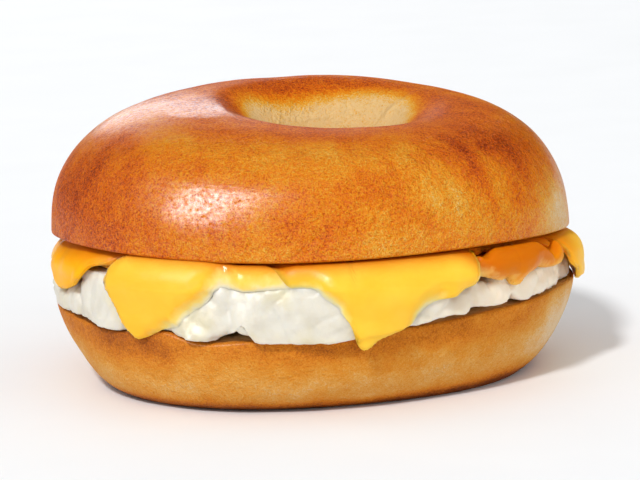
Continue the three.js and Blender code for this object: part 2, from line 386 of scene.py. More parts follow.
def bread(name, speckle, relief, browns):
    """Crust over crumb. The mesh's "bake" browns the crust, "crust" is 0 where the cut lays crumb
    open, and "gloss" says how much the crust shines."""
    made, tree, shader, spot = new_look(name)
    skin = painted(tree, "crust")
    gloss = painted(tree, "gloss")
    crust = add_node(tree, "ShaderNodeGroup", node_tree=crust_look)
    crumb = add_node(tree, "ShaderNodeGroup", node_tree=crumb_look)
    tree.links.new(spot, crust.inputs["Spot"])
    tree.links.new(painted(tree, "bake"), crust.inputs["Bake"])
    crust.inputs["Speckle"].default_value = speckle
    tree.links.new(spot, crumb.inputs["Spot"])
    brown = ramp_node(tree, crust.outputs["Level"], browns)
    colour = blend_colours(tree, skin, crumb.outputs["Color"], brown)
    tree.links.new(colour, shader.inputs["Base Color"])
    # crumb is dull, and crust is rougher where it has less gloss
    rough = reckon(tree, "MULTIPLY_ADD", skin, -0.75, 0.75)
    rough = reckon(tree, "MULTIPLY_ADD", crust.outputs["Roughness"], skin, rough)
    dull = reckon(tree, "MULTIPLY", reckon(tree, "SUBTRACT", full_gloss, gloss), skin)
    tree.links.new(reckon(tree, "MULTIPLY_ADD", dull, 1.1, rough), shader.inputs["Roughness"])
    height = reckon(tree, "SUBTRACT", crust.outputs["Height"], crumb.outputs["Height"])
    height = reckon(tree, "MULTIPLY_ADD", height, skin, crumb.outputs["Height"])
    emboss(tree, shader, height, 1.0, relief)
    coat = reckon(tree, "MULTIPLY", gloss, crust.outputs["Glint"])
    tree.links.new(coat, shader.inputs["Coat Weight"])
    set_inputs(shader, {
        "Coat Roughness": 0.28,
        "Coat IOR": 1.38,
        "Specular IOR Level": 0.05,
        "Subsurface Weight": 0.06,
        "Subsurface Radius": (1.0, 0.4, 0.15),
        "Subsurface Scale": 0.002,
    })
    return made


heel_browns = [
    (0.0, (0.74, 0.55, 0.33)),
    (0.25, (0.72, 0.37, 0.085)),
    (0.45, (0.68, 0.27, 0.028)),
    (0.62, (0.62, 0.19, 0.012)),
    (0.8, (0.42, 0.11, 0.008)),
    (1.0, (0.2, 0.045, 0.006)),
]
heel.data.materials.append(bread("lower_crust", 0.6, 0.0003, heel_browns))
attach(heel, "root")
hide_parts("heel")

# Egg white: one thick patty of folded, steamed egg white, laid on the lower half.
# It fills the space up to the cheese, and bulges out between the halves in soft lumps.
# Its top follows the cut of the upper half, less the two slices of cheese between them.
crown_reach = 54.1
crown_rim_waves = [(0.8, 1, 90), (0.9, 2, -49), (0.8, 3, 41)]
crown_low = 30.4
crown_cut_waves = [(2.35, 1, -18), (0.4, 2, 0), (0.8, 3, 50)]
clear = 0.3
cheese_thick = 1.7
egg_reach = 53
egg_core = 49
egg_core_low = 17.9
egg_core_tall = 8.6


def crown_rim(angle):
    return crown_reach + swell(angle, crown_rim_waves)


def crown_cut(radius, angle):
    return crown_low + swell(angle, crown_cut_waves, np.minimum(1.02, radius / crown_rim(angle)))


def egg_top(radius, angle):
    return crown_cut(radius, angle) - 3 * clear - 2 * cheese_thick


def egg_side(angle):
    return egg_reach + swell(angle, [(0.3, 1, 90), (0.3, 2, 90)])


def follow(stations, angle):
    """A value given at a few angles, followed smoothly round from one to the next."""
    stations = np.array(sorted(stations), dtype=float)
    first = stations[0, 0]
    turn = (angle - first) % 360 + first
    edges = np.vstack([stations, [first + 360, stations[0, 1]]])
    k = np.clip(np.searchsorted(edges[:, 0], turn, side="right") - 1, 0, len(edges) - 2)
    share = ease(0, 1, (turn - edges[k, 0]) / (edges[k + 1, 0] - edges[k, 0]))
    return edges[k, 1] + (edges[k + 1, 1] - edges[k, 1]) * share


# each lump: angle, height, reach of its face, half width, half height, half depth, squareness, lean
front_lumps = [
    (-78, 18.9, 54.2, 9.5, 3.3, 5, 2.8, 6),
    (-86, 19.9, 54.4, 4.5, 3.9, 5, 2.6, 0),
    (-67, 20.0, 54.0, 5.4, 4.2, 5, 2.7, 8),
    (-54.8, 22.0, 54.0, 8.2, 7.2, 6, 4.4, -3),
    (-61, 19.0, 53.8, 3.4, 2.8, 4, 2.4, -30),
    (-53, 17.6, 54.2, 3.6, 2.6, 4, 2.6, -8),
    (-43, 22.2, 53.4, 8.0, 6.0, 6, 2.8, 0),
    (-34, 22.2, 53.5, 7.0, 5.2, 6, 2.8, 0),
    (-29, 19.6, 53.9, 4.2, 3.4, 4, 2.7, 8),
    (-23.4, 21.6, 54.0, 4.8, 4.2, 5, 3.0, -10),
    (-26, 17.4, 54.5, 3.6, 2.4, 4, 2.7, -6),
    (-20.6, 19.8, 54.1, 3.6, 2.9, 4, 2.6, 16),
    (-19.6, 26.0, 54.1, 2.4, 3.2, 4, 2.4, 22),
    (-16, 24.6, 53.6, 3.4, 3.8, 4, 2.6, 0),
    (-3.4, 21.6, 54.3, 12.6, 7.0, 6, 5.2, 2),
    (8, 21.4, 53.9, 5.4, 5.8, 5, 3.2, 0),
    (17, 22.0, 53.6, 8.0, 5.4, 5, 3.0, 0),
    (26.4, 20.8, 54.0, 5.6, 4.2, 5, 3.4, 10),
    (34, 20.9, 53.7, 3.2, 3.2, 4, 2.8, 14),
    (38.4, 22.9, 53.7, 1.6, 3.8, 4, 2.6, 22),
    (41.2, 22.0, 53.6, 1.7, 3.8, 4, 2.6, 28),
    (45.6, 21.8, 53.4, 4.4, 3.7, 5, 3.2, 12),
    (52.2, 21.4, 53.2, 2.3, 3.2, 4, 2.6, 34),
    (60, 21.6, 53.2, 7.4, 3.9, 5, 3.8, 8),
    (72, 21.3, 53.4, 7.2, 4.1, 5, 3.2, 4),
    (84, 21.0, 54.2, 7.4, 3.8, 5, 2.8, 0),
    (96, 21.0, 53.6, 7.4, 3.8, 5, 2.6, 0),
]
# where the egg white ends above the lower half, as seen from the front: angle and height
egg_foot = [
    (-110, 15.0), (-96, 17), (-86, 17.4), (-76, 16.9), (-69, 17.3), (-59.5, 17.6), (-57, 17.1),
    (-53, 16.5), (-50, 16.5), (-45.5, 16.6), (-33, 17.4), (-29, 16.8), (-26, 16.3), (-22, 16.4),
    (-21, 17.4), (-17, 18.5), (-15, 20.2), (-13.4, 18.2), (-12, 16.6), (-3, 16.1), (3, 16.1),
    (9, 16.8), (23, 18.4), (27, 18.9), (30, 19.5), (35, 18.9), (37, 19.8), (40, 19.8), (44, 19.5),
    (48, 19.6), (50, 21), (51.2, 19.6), (54, 18.9), (62, 19.2), (76, 19.3), (88, 19.2), (108, 17.5),
]
# how far its shoulder falls away below the cheese: angle and fall
egg_falls = [
    (-90, 1.2), (-66, 1.2), (-62, 0.4), (-48, 0.4), (-44, 1.1), (-34, 1.1), (-24, 0.4), (9, 0.4), (14, 1.2),
]


def egg_lump(place, height, reach, wide, tall, deep, square, lean, seed):
    """A soft lump: a round grown squarer, made uneven, leant over and set with its face at the reach."""
    bpy.ops.object.select_all(action="DESELECT")
    bpy.ops.mesh.primitive_ico_sphere_add(subdivisions=4, radius=millimetre)
    lump = bpy.context.object
    way = corners(lump)
    way /= np.linalg.norm(way, axis=1)[:, None]
    spread = (np.abs(way) ** square).sum(axis=1) ** (-1 / square)
    spread *= 1 + 0.07 * noise_at(way, 0.7, seed)
    points = way * spread[:, None] * (wide, deep, tall)
    tilt = Matrix.Rotation(math.radians(place), 3, "Z") @ Matrix.Rotation(math.radians(-lean), 3, "Y")
    points = points @ np.array(tilt).T
    centre = ring(np.array([float(place)]), reach - deep)[0] + middle
    put_corners(lump, points + (*centre, height))
    return lump


bpy.ops.object.select_all(action="DESELECT")
core_middle = np.array([*middle, egg_core_low + egg_core_tall / 2]) * millimetre
bpy.ops.mesh.primitive_cylinder_add(
    vertices=160,
    radius=egg_core * millimetre,
    depth=egg_core_tall * millimetre,
    location=core_middle,
)
egg = bpy.context.object
egg.name = "egg_white_patty"
bpy.ops.object.transform_apply(location=True, rotation=True, scale=True)
rounded = egg.modifiers.new("rounded", "BEVEL")
rounded.width = 3 * millimetre
rounded.segments = 4
bpy.ops.object.modifier_apply(modifier="rounded")
points = corners(egg)
radius, angle = polar(points)
reach = np.minimum(radius, egg_core)
share = (points[:, 2] - egg_core_low) / egg_core_tall
egg_floor = heel_cut(reach, angle) + 0.4 + 0.9 * ease(40, 48, radius)
points[:, 2] = egg_floor * (1 - share) + (egg_top(reach, angle) - 0.2) * share
put_corners(egg, points)

# the lumps carry on round the back in the same way, at places and of sizes drawn by chance
parts = [egg]
chance = np.random.default_rng(7)
lumps = list(front_lumps)
place = 108.0
back_end = 268
while place < back_end:
    wide = chance.uniform(4.5, 8.5)
    tall = chance.uniform(3.0, 4.2)
    height = 22.0 + chance.uniform(-0.9, 0.9)
    lumps.append((place, height, chance.uniform(52.0, 53.2), wide, tall, 5, 2.5, 0))
    place += wide * 1.5
for number, lump in enumerate(lumps):
    parts.append(egg_lump(*lump, seed=20 + number))
bpy.ops.object.select_all(action="DESELECT")
for part in parts:
    part.select_set(True)
bpy.context.view_layer.objects.active = egg
bpy.ops.object.join()
knit = egg.modifiers.new("knit", "REMESH")
knit.mode = "VOXEL"
knit.voxel_size = 0.56 * millimetre
bpy.ops.object.modifier_apply(modifier="knit")
soften = egg.modifiers.new("soften", "SMOOTH")
soften.factor = 0.5
soften.iterations = 2
bpy.ops.object.modifier_apply(modifier="soften")

# small swellings and creases, a shoulder under the cheese, a seat on the crumb and a ragged foot
points = corners(egg)
facing = outward(egg)
radius, angle = polar(points)
push = 0.4 * noise_at(points, 4.5, 31) + 0.15 * noise_at(points, 1.7, 33) + 0.06 * noise_at(points, 0.9, 34)
push -= 0.34 * np.maximum(0, 1 - 6 * np.abs(noise_at(points, 7, 32))) ** 2
push -= 0.12 * np.maximum(0, 1 - 4 * np.abs(noise_at(points, 3, 35))) ** 2
points += facing * (push * ease(40, 49, radius))[:, None]
radius, angle = polar(points)
top = egg_top(np.minimum(radius, 49.5), angle)
points[:, 2] = np.minimum(points[:, 2], top - follow(egg_falls, angle) * ease(48.5, 53, radius) ** 2)
rest = heel_cut(radius, angle) + 0.12
outside = ease(-0.8, 0.6, radius - heel_rim(angle))
points[:, 2] = np.maximum(points[:, 2], rest - 1.6 * outside)
foot = np.interp(angle, [place for place, _ in egg_foot], [height for _, height in egg_foot])
foot += 0.35 * noise_at(points, 2.4, 36) + 0.15 * noise_at(points, 1, 37)
outer = ease(46, 50, radius)
foot = np.minimum(foot, points[:, 2] + 3) * outer + points[:, 2] * (1 - outer)
points[:, 2] = np.maximum(points[:, 2], foot)
put_corners(egg, points)
close_up(egg)
# painted light: a brighter, warm tint at the right, standing in for the glow that the cheese throws there
put_values(egg, "warm", 0.9 * ease(16, 50, angle) * (1 - ease(96, 130, angle)))

# cooked egg white is a cloudy white, yellow in a few spots; at the right a brighter, warmer tint is painted
# light, the glow that the cheese throws on it
egg_look, tree, shader, spot = new_look("egg_white")
cloud = noise_node(tree, spot, 190, 3)
tinge = noise_node(tree, spot, 120, 2)
colour = ramp_node(tree, cloud, [(0.3, (0.62, 0.58, 0.48)), (0.55, (0.69, 0.66, 0.575))])
yellow = ramp_node(tree, tinge, [(0.52, (0, 0, 0)), (0.7, (1, 1, 1))])
colour = blend_colours(tree, reckon(tree, "MULTIPLY", yellow, 0.5), colour, (0.68, 0.6, 0.34))
# painted warm light at the right
colour = blend_colours(tree, painted(tree, "warm"), colour, (0.94, 0.8, 0.62))
tree.links.new(colour, shader.inputs["Base Color"])
emboss(tree, shader, noise_node(tree, spot, 700, 4, 0.6), 0.5, 0.0003)
tree.links.new(reckon(tree, "MULTIPLY_ADD", cloud, 0.2, 0.36), shader.inputs["Roughness"])
set_inputs(shader, {
    "Subsurface Weight": 0.6,
    "Subsurface Radius": (1.0, 0.85, 0.6),
    "Subsurface Scale": 0.003,
    "Specular IOR Level": 0.3,
})
egg.data.materials.append(egg_look)
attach(egg, "root")
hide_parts("egg_white")

# Under slice: a square slice of processed cheese, laid on the hot egg white with a corner to the
# left of the front. It has melted over the shoulder and down the side, thick at its cut edges
# and thinning to a film where it spread.
cheese_round = 0.95

# how far out the face of the egg white lies at every turn and height; above it the face is carried up
turn_step = 0.75
rise_step = 0.5
lowest = 12
highest = 31
probe_reach = 62
turns = np.arange(-180, 180, turn_step)
heights = np.arange(lowest, highest + rise_step, rise_step)
egg_tree = BVHTree.FromPolygons(
    [v.co / millimetre for v in egg.data.vertices], [tuple(p.vertices) for p in egg.data.polygons]
)
egg_face = np.full((len(turns), len(heights)), 47.0)
for i, turn in enumerate(turns):
    away = ring(np.array([turn]), 1.0)[0]
    for j, height in enumerate(heights):
        start = Vector((away[0] * probe_reach + middle[0], away[1] * probe_reach + middle[1], height))
        hit = egg_tree.ray_cast(start, Vector((-away[0], -away[1], 0)), 20)[3]
        if hit is not None:
            egg_face[i, j] = probe_reach - hit
        if height > 24:
            egg_face[i, j] = max(egg_face[i, j], egg_face[i, j - 1] - 0.2)

# how a slice hangs over it: it falls nearly straight from each lump, spans the hollows and is smooth
hung = egg_face.copy()
for j in range(len(heights) - 2, -1, -1):
    hung[:, j] = np.maximum(egg_face[:, j], hung[:, j + 1] - 0.12)
for pick in (np.maximum, np.minimum):
    span = hung.copy()
    for step in range(1, 8):
        span = pick(span, pick(np.roll(hung, step, axis=0), np.roll(hung, -step, axis=0)))
    hung = span
for _ in range(44):
    hung = (np.roll(hung, 1, axis=0) + 2 * hung + np.roll(hung, -1, axis=0)) / 4
    padded = np.pad(hung, ((0, 0), (1, 1)), mode="edge")
    hung = (padded[:, :-2] + 2 * padded[:, 1:-1] + padded[:, 2:]) / 4


def egg_stands(angle, height, cling):
    """How far the egg white stands out from its plain side: as a slice hanging over it feels it,
    or where cling is 1 as a film lying on it does."""
    column = ((angle + 180) % 360) / turn_step
    row = np.clip((height - lowest) / rise_step, 0, len(heights) - 1.001)
    i = np.floor(column).astype(int) % len(turns)
    k = (i + 1) % len(turns)
    j = np.floor(row).astype(int)
    s = column - np.floor(column)
    t = row - j
    near = []
    for table in (hung, egg_face):
        low = table[i, j] * (1 - s) + table[k, j] * s
        high = table[i, j + 1] * (1 - s) + table[k, j + 1] * s
        near.append(low * (1 - t) + high * t)
    stand = near[0] * (1 - cling) + near[1] * cling - egg_side(angle)
    return np.clip(stand, -0.4 - 1.6 * cling, 1.0 + 1.2 * cling)


def bend_radius(angle):
    return 2.1 + swell(angle, [(0.9, 2, 90)])


def shoulder(angle):
    return egg_side(angle) - bend_radius(angle)


# how a slice turns over the shoulder: along it, its share of the way out and down, and its slope
turning = np.linspace(0, 1, 101)
slope = math.pi / 2 * ease(0, 1, turning)
halfway = slope[:-1] / 2 + slope[1:] / 2
way_out = np.concatenate([[0], np.cumsum(np.cos(halfway))])
way_out /= way_out[-1]
way_down = np.concatenate([[0], np.cumsum(np.sin(halfway))])
way_down /= way_down[-1]


def turn_length(angle):
    return 1.15 * math.pi / 2 * (bend_radius(angle) + cheese_thick)


def draped(reach, lift, angle, cling=0.0):
    """A point so far along a slice from the middle, and so far off the egg white under it."""
    bend = bend_radius(angle)
    level = egg_top(np.minimum(reach, shoulder(angle)), angle)
    past = np.maximum(0, reach - shoulder(angle))
    share = np.minimum(1, past / turn_length(angle))
    tilt = np.interp(share, turning, slope)
    down = np.maximum(0, past - turn_length(angle))
    height = level - bend * np.interp(share, turning, way_down) + lift * np.cos(tilt) - down
    out = np.minimum(reach, shoulder(angle)) + bend * np.interp(share, turning, way_out) + lift * np.sin(tilt)
    out = out + egg_stands(angle, height, cling) * np.sin(tilt) ** 3
    return np.column_stack([ring(angle, out) + middle, height])


def reach_to(angle, height):
    """How far along the slice its edge lies, for an edge seen at an angle and a height."""
    along = shoulder(np.array([angle]))[0] + np.linspace(0, 26, 261)
    heights_there = draped(along, np.full(261, 1.2), np.full(261, float(angle)))[:, 2]
    return float(np.interp(-height, -heights_there, along))


# where the painted shade under the upper half gives way below the shoulder, and where the yellow is painted
# deeper: by angle
painted_shade_starts = [(30, 0.6), (42, 4), (60, 4), (70, 0.6), (-90, 0.6)]
painted_shade_ends = [
    (-90, 5), (-64, 6.5), (-50, 5.5), (-44, 3.6), (-10, 3.4), (30, 4.2), (36, 5.5), (41, 12), (66, 11),
    (80, 5),
]
# the ends are painted a deeper orange: partly the cheese's own deeper colour, partly painted shade and bounce
# glow where they lie in shade
deep_yellow_and_shade = [
    (-180, 0.6), (-90, 1), (-56, 1), (-50, 0.2), (-40, 0.1), (-20, 0), (33, 0), (40, 0.6), (48, 1), (64, 0.9),
    (74, 0.3),
]


def slice_of_cheese(name, corner, edge_of, lift_of, thick_of, thin_of, bed_of):
    """A square slice with one corner at the given angle, melted to its edge and draped as one sheet.
    The functions say where it ends, how far it lies off the egg white, how thick it is, where it
    thins to a film and how thick the bed is that the film lies on."""
    bpy.ops.object.select_all(action="DESELECT")
    bpy.ops.mesh.primitive_grid_add(
        x_subdivisions=190,
        y_subdivisions=190,
        size=2 * millimetre,
        rotation=(0, 0, math.radians(corner - 45)),
    )
    piece = bpy.context.object
    piece.name = name
    grid = corners(piece)
    bpy.ops.object.transform_apply(location=True, rotation=True, scale=True)
    turned = corners(piece)
    put_values(piece, "share", np.maximum(np.abs(grid[:, 0]), np.abs(grid[:, 1])))
    put_values(piece, "bearing", np.degrees(np.arctan2(turned[:, 0], -turned[:, 1])))
    bpy.ops.object.mode_set(mode="EDIT")
    bpy.ops.mesh.select_all(action="SELECT")
    bpy.ops.mesh.extrude_region_move(TRANSFORM_OT_translate={"value": (0, 0, millimetre)})
    bpy.ops.object.mode_set(mode="OBJECT")
    upper = (corners(piece)[:, 2] > 0.5).astype(float)
    share = values(piece, "share")
    angle = values(piece, "bearing")
    end = edge_of(angle)
    reach = end * (1 - (1 - share) ** 1.55)
    reach = np.where(share < 0.02, share * end * 0.5, reach)

    # how far each point lies from the slice's edge; near the middle it is simply far
    trace = np.arange(-180, 180, 0.5)
    edge = edge_of(trace)
    half_round = 166.5
    hidden_reach = 38
    far = 20
    batch = 4000
    around = np.radians(trace) * egg_reach
    away = np.zeros(len(reach))
    for start in range(0, len(reach), batch):
        part = np.arange(start, min(start + batch, len(reach)))
        across = np.radians(angle[part])[:, None] * egg_reach - around[None, :]
        across = (across + half_round) % (2 * half_round) - half_round
        away[part] = np.sqrt((across**2 + (reach[part][:, None] - edge[None, :]) ** 2).min(axis=1))
    away[reach <= hidden_reach] = far

    # a blunt edge is rounded; a film thins away and clings to what lies under it
    thin = thin_of(angle)
    full = np.sqrt(np.maximum(0, 1 - (1 - np.minimum(1, away / cheese_round)) ** 2))
    film = ease(-0.3, 2.8, away)
    thick = thick_of(reach, angle) * (full * (1 - thin) + np.minimum(full, film) * thin)
    cling = thin * (1 - ease(0, 4.5, away))
    lift = lift_of(reach, angle) * (1 - cling) + (bed_of(reach, angle) - 0.25) * cling
    lift += 0.35 * (1 - full) * (1 - thin)
    points = draped(reach, lift + upper * thick, angle, cling)
    wave = 0.22 * noise_at(points, 9, corner) + 0.05 * noise_at(points, 3, corner + 4)
    hanging = ease(0, 4, reach - shoulder(angle))
    points[:, :2] += ring(angle, wave * hanging)
    put_corners(piece, points)

    # for the material: where it is a film on the egg white, where painted shade darkens it under the upper
    # half, where its yellow is painted deeper
    alone = 1 - np.minimum(1, bed_of(reach, angle) / 1.5)
    put_values(piece, "melt", np.clip(1 - away / 2.8, 0, 1) * thin * alone)
    past = reach - shoulder(angle)
    # painted shade: dark where the upper half shades the slice, fading out below the shoulder
    painted_tuck_shade = 1 - ease(follow(painted_shade_starts, angle), follow(painted_shade_ends, angle), past)
    put_values(piece, "painted_tuck_shade", painted_tuck_shade * ease(30, 44, reach))
    put_values(piece, "deep", follow(deep_yellow_and_shade, angle))
    close_up(piece)
    return piece


# where each slice ends: angle and reach where it is hidden, angle and height where it shows
under_hidden = [
    (-132, 61), (-112, 50), (-100, 48), (-86, 47), (-70, 48.5), (-58, 51), (-51, 53.2),
    (-4, 55.3), (20, 55.3), (36, 55.5), (92, 50), (112, 49), (139, 61), (155, 52), (180, 48),
]
under_seen = [
    (-48.9, 30.6), (-47.3, 25.2), (-45.3, 21.3), (-43.6, 17.4), (-41.2, 15.5), (-39, 16.1), (-34.5, 18.1),
    (-30, 18.9), (-28.4, 21), (-25, 23), (-22.7, 24.4), (-20.5, 27.2), (-19, 28), (-17.1, 27),
    (-14.9, 26.6), (-10.7, 27), (36, 27), (41.2, 25.6), (44.7, 24.6), (47, 25), (48.5, 23),
    (51, 22.8), (53, 24), (57.4, 25.4), (62, 24.4), (68, 23.9), (73, 23.6), (80, 26),
]
over_hidden = [
    (-169, 57), (-150, 51), (-128, 48), (-103, 54), (-92, 58), (-47.5, 52), (-43, 48.8), (-20, 48.8),
    (-15, 52), (39.6, 52.4), (43, 50.5), (57, 50.5), (64, 54.5), (112, 59), (124, 54), (133, 50.5),
    (150, 48.5),
]
over_seen = [
    (-84, 26.5), (-78.5, 24.2), (-76, 22.4), (-72.5, 21.8), (-67.8, 22.5), (-63, 24), (-59.3, 25.9),
    (-57, 27.3), (-55.6, 28.2), (-52.9, 28.6), (-49.6, 28.9), (-11, 30), (-7, 28.8), (-4.5, 27.8),
    (0, 27.2), (2, 25.2), (5.6, 22.6), (8, 19.6), (8.6, 16.9), (9.5, 14.9), (10.7, 14.1), (12, 14.6),
    (13.7, 16.1), (18.1, 17.5), (21.4, 18.8), (25, 22.3), (27.3, 23.2), (31, 23.6), (32.8, 24.9),
    (35.6, 25.5), (36.9, 28), (37.6, 30.4), (66, 29.5), (69, 26), (72, 23.4), (75, 21.8), (79, 19.6),
    (84, 18.2), (90, 17.6), (96, 18.4), (101, 21), (107, 25),
]
# how far each slice has thinned towards a film at its edge: angle and share
over_films = [
    (-90, 0.1), (-48, 0.1), (-20, 0.3), (-14, 1), (5, 1), (9, 0.1), (19, 0.1), (23, 0.9), (26, 0.7),
    (30, 0.1), (60, 0.1), (180, 0.5),
]
under_films = [
    (-180, 0.5), (-60, 0.4), (-46, 0), (-40, 0), (-36, 0.3), (-32, 0.85), (-14, 1), (34, 1), (42, 0.3),
    (90, 0.3),
]


def edge_through(hidden, seen):
    """The slice's reach at every angle, through its hidden and its seen stations."""
    stations = list(hidden)
    for place, height in seen:
        stations.append((place, reach_to(place, height)))
    stations.sort()
    trace = np.arange(-180, 180, 0.25)
    reach = np.interp(trace, [place for place, _ in stations], [end for _, end in stations], period=360)
    for _ in range(6):
        reach = (np.roll(reach, 1) + 2 * reach + np.roll(reach, -1)) / 4
    return lambda angle: np.interp(angle, trace, reach, period=360)


under_edge = edge_through(under_hidden, under_seen)
over_edge = edge_through(over_hidden, over_seen)


def over_thin(angle):
    return follow(over_films, angle)


def under_thin(angle):
    return follow(under_films, angle)


def under_thick(reach, angle):
    """Past the over slice's edge this slice has drawn together and is as thick as both."""
    past = reach - over_edge(angle)
    blunt = 1 - over_thin(angle)
    more = 1.8 + 0.4 * bump_at(angle, 0, (-30, 0), 20, 1)
    return cheese_thick + more * ease(3.6 * blunt - 2.8, 2.8 * blunt + 0.6, past) * (1 - ease(55, 63, reach))


def under_lift(reach, angle):
    free = follow([(-54, 0), (-44, 0.5), (-8, 0.6), (30, 0.3), (40, 0.5), (70, 0.5), (90, 0)], angle)
    free = free * (1 - ease(50.5, 53.5, over_edge(angle)))
    return clear + free * ease(0.8, 3.4, reach - over_edge(angle)) * (1 - ease(55, 61, reach))


def under_bed(reach, angle):
    """Under this slice there is nothing but the egg white."""
    return 0


under = slice_of_cheese("cheese_slice_under", -42, under_edge, under_lift, under_thick, under_thin, under_bed)


def cheese_look(name, seed, yellow):
    """Melted processed cheese: warm, dense yellow that glows a little, with a wet sheen."""
    made, tree, shader, spot = new_look(name)
    cloud = noise_node(tree, spot, 130 + seed, 3)
    colour = ramp_node(tree, cloud, [(0.3, (1.0, yellow, 0.035)), (0.7, (1.0, yellow + 0.06, 0.055))])
    # deeper orange at the ends: partly the cheese's own colour, partly painted shade and bounce glow
    colour = blend_colours(tree, painted(tree, "deep"), colour, (1.0, 0.42, 0.002))
    # painted shade: the cheese turns dark orange where the upper half shades it
    colour = blend_colours(tree, painted(tree, "painted_tuck_shade"), colour, (0.62, 0.15, 0.001))
    # where it has melted to a film, the egg white shows through it
    uneven = reckon(tree, "MULTIPLY_ADD", noise_node(tree, spot, 500, 2), 0.5, painted(tree, "melt"))
    uneven = reckon(tree, "SUBTRACT", uneven, 0.25)
    thinner = ramp_node(tree, uneven, [(0.15, (0, 0, 0)), (0.6, (1, 1, 1))])
    colour = blend_colours(tree, thinner, colour, (0.95, 0.7, 0.2))
    thinnest = ramp_node(tree, uneven, [(0.5, (0, 0, 0)), (0.85, (1, 1, 1))])
    colour = blend_colours(tree, thinnest, colour, (0.78, 0.7, 0.5))
    tree.links.new(colour, shader.inputs["Base Color"])
    emboss(tree, shader, noise_node(tree, spot, 300, 3), 0.35, 0.0004)
    tree.links.new(reckon(tree, "MULTIPLY_ADD", cloud, 0.2, 0.3), shader.inputs["Roughness"])
    wet = ramp_node(tree, noise_node(tree, spot, 95, 2), [(0.52, (0, 0, 0)), (0.7, (0.4, 0.4, 0.4))])
    tree.links.new(wet, shader.inputs["Coat Weight"])
    set_inputs(shader, {
        "Coat Roughness": 0.08,
        "Subsurface Weight": 0.55,
        "Subsurface Radius": (1.0, 0.9, 0.7),
        "Subsurface Scale": 0.0015,
        "Specular IOR Level": 0.07,
    })
    return made


under.data.materials.append(cheese_look("cheese_under", 0, 0.5))
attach(under, "root")
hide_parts("cheese_under")

# Over slice: a second square slice, laid across the first with a corner at the right of the front.
# Its left corner hangs at the left end, its front corner runs down to a drip over the lower crust,
# and its right corner flares out at the right end.
over_stands = [
    (-96, 0.8), (-62, 1), (-50, 0), (26, 0), (35, 1), (42, 0.4), (62, 0.6), (80, 0.8), (124, 0.7), (138, 0),
]
over_flares = [(60, 0), (72, 1.5), (118, 1.5), (132, 0)]


def over_lift(reach, angle):
    """It lies on the under slice, comes down past its edge, and stands off where it hangs free."""
    under_end = under_edge(angle)
    return (
        clear
        + follow(over_stands, angle) * ease(53.2, 57, reach)
        + follow(over_flares, angle) * ease(56, 63, reach)
        + (cheese_thick + clear) * (1 - ease(under_end + 1, under_end + 9, reach))
    )


def over_thick(reach, angle):
    return cheese_thick


def over_bed(reach, angle):
    """How thick the under slice is where this one lies on it, and 0 past its edge."""
    left = under_edge(angle) - reach
    bed = under_lift(reach, angle) + under_thick(reach, angle) * ease(-0.3, 2.8, left)
    return bed * ease(-0.5, 0.5, left)


over = slice_of_cheese("cheese_slice_over", 10.7, over_edge, over_lift, over_thick, over_thin, over_bed)
over.data.materials.append(cheese_look("cheese_over", 17, 0.52))
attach(over, "root")
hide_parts("cheese_over")

# Upper half: the domed top of the same bagel, boiled before baking, so its crust is glossy and
# finely pebbled, orange brown on the shoulders and cream down in the hole. It lies on the cheese.
crown_edge = 0.6
crown_crest = 56.3
crown_hole = (4.1, 0.2)
crown_mouth = 26.2
crown_neck = 9.0
crown_hole_low = 36

# the outline goes up the dome from the rim to the crest, down the hole and out along the cut
dome_end = 82
hole_end = 110
loop_end = 128
crown = spun_loop("upper_half", 34, 44, loop_end, 500)
along = values(crown, "along")
angle = np.degrees(np.arctan2(corners(crown)[:, 0], -corners(crown)[:, 1]))
rim = crown_rim(angle)
foot = crown_cut(rim, angle)
crest = crown_crest + swell(angle, [(2.25, 1, -137)])
power = 2 / (2.33 + swell(angle, [(0.3, 1, -21)]))
crest_ring = ring(angle, crown_mouth, crown_hole)
places = np.zeros((len(angle), 3))

dome = along < dome_end
turn = np.radians(90 * np.minimum(1, along / dome_end) ** 1.35)
height = foot + (crest - foot) * np.sin(turn) ** power
share = (1 - np.abs(np.cos(turn)) ** power)[:, None]
flat = ring(angle, rim - rounding(height - foot, crown_edge)) * (1 - share) + crest_ring * share
places[dome] = np.column_stack([flat, height])[dome]

wall = (along >= dome_end) & (along < hole_end)
turn = np.radians(90 * np.clip((along - dome_end) / (hole_end - dome_end), 0, 1))
flat = ring(angle, crown_mouth - (crown_mouth - crown_neck) * np.sin(turn), crown_hole)
deep_in = crown_hole_low + (crest - crown_hole_low) * np.cos(turn)
places[wall] = np.column_stack([flat, deep_in])[wall]

cut = along >= hole_end
share = ((along - hole_end) / (loop_end - hole_end))[:, None]
flat = ring(angle, crown_neck, crown_hole) * (1 - share) + ring(angle, rim - crown_edge) * share
radius, bearing = polar(np.column_stack([flat + middle, rim]))
places[cut] = np.column_stack([flat, crown_cut(radius, bearing)])[cut]
places[:, :2] += middle
put_corners(crown, places)
close_up(crown)

# fine wrinkles near the crest, and one crease with a fold beside it down the wall of the hole
radius, bearing = polar(places)
sweep = np.where(dome, (along / dome_end) ** 1.35, 1.0)
down = np.where(wall, (along - dome_end) / (hole_end - dome_end), 0.0)
swelling = 0.3 * noise_at(places, 19, 41) + 0.1 * noise_at(places, 8, 42)
wrinkled = bump_at(bearing, sweep - 0.6 * down, (-64, 0.96), 26, 0.12)
wrinkled += 0.7 * bump_at(bearing, sweep, (-20, 0.28), 14, 0.1)
ripple = np.sin(places[:, 2] * 7 + 0.09 * bearing + 4 * noise_at(places, 9, 46))
swelling += 0.07 * wrinkled * ripple
pinch = bearing - 127 - 5 * noise_at(places, 7, 47)
crease = 0.5 * np.exp(-(((pinch + 7) / 4) ** 2)) - 0.6 * np.exp(-((pinch / 4.5) ** 2))
swelling += crease * np.where(wall, ease(0.05, 0.3, down), 0)
crumbly = 0.12 * noise_at(places, 1.6, 43)
push = np.where(cut, crumbly - 0.05, swelling * ease(0, 6, height - foot))
put_corners(crown, places + outward(crown) * push[:, None])

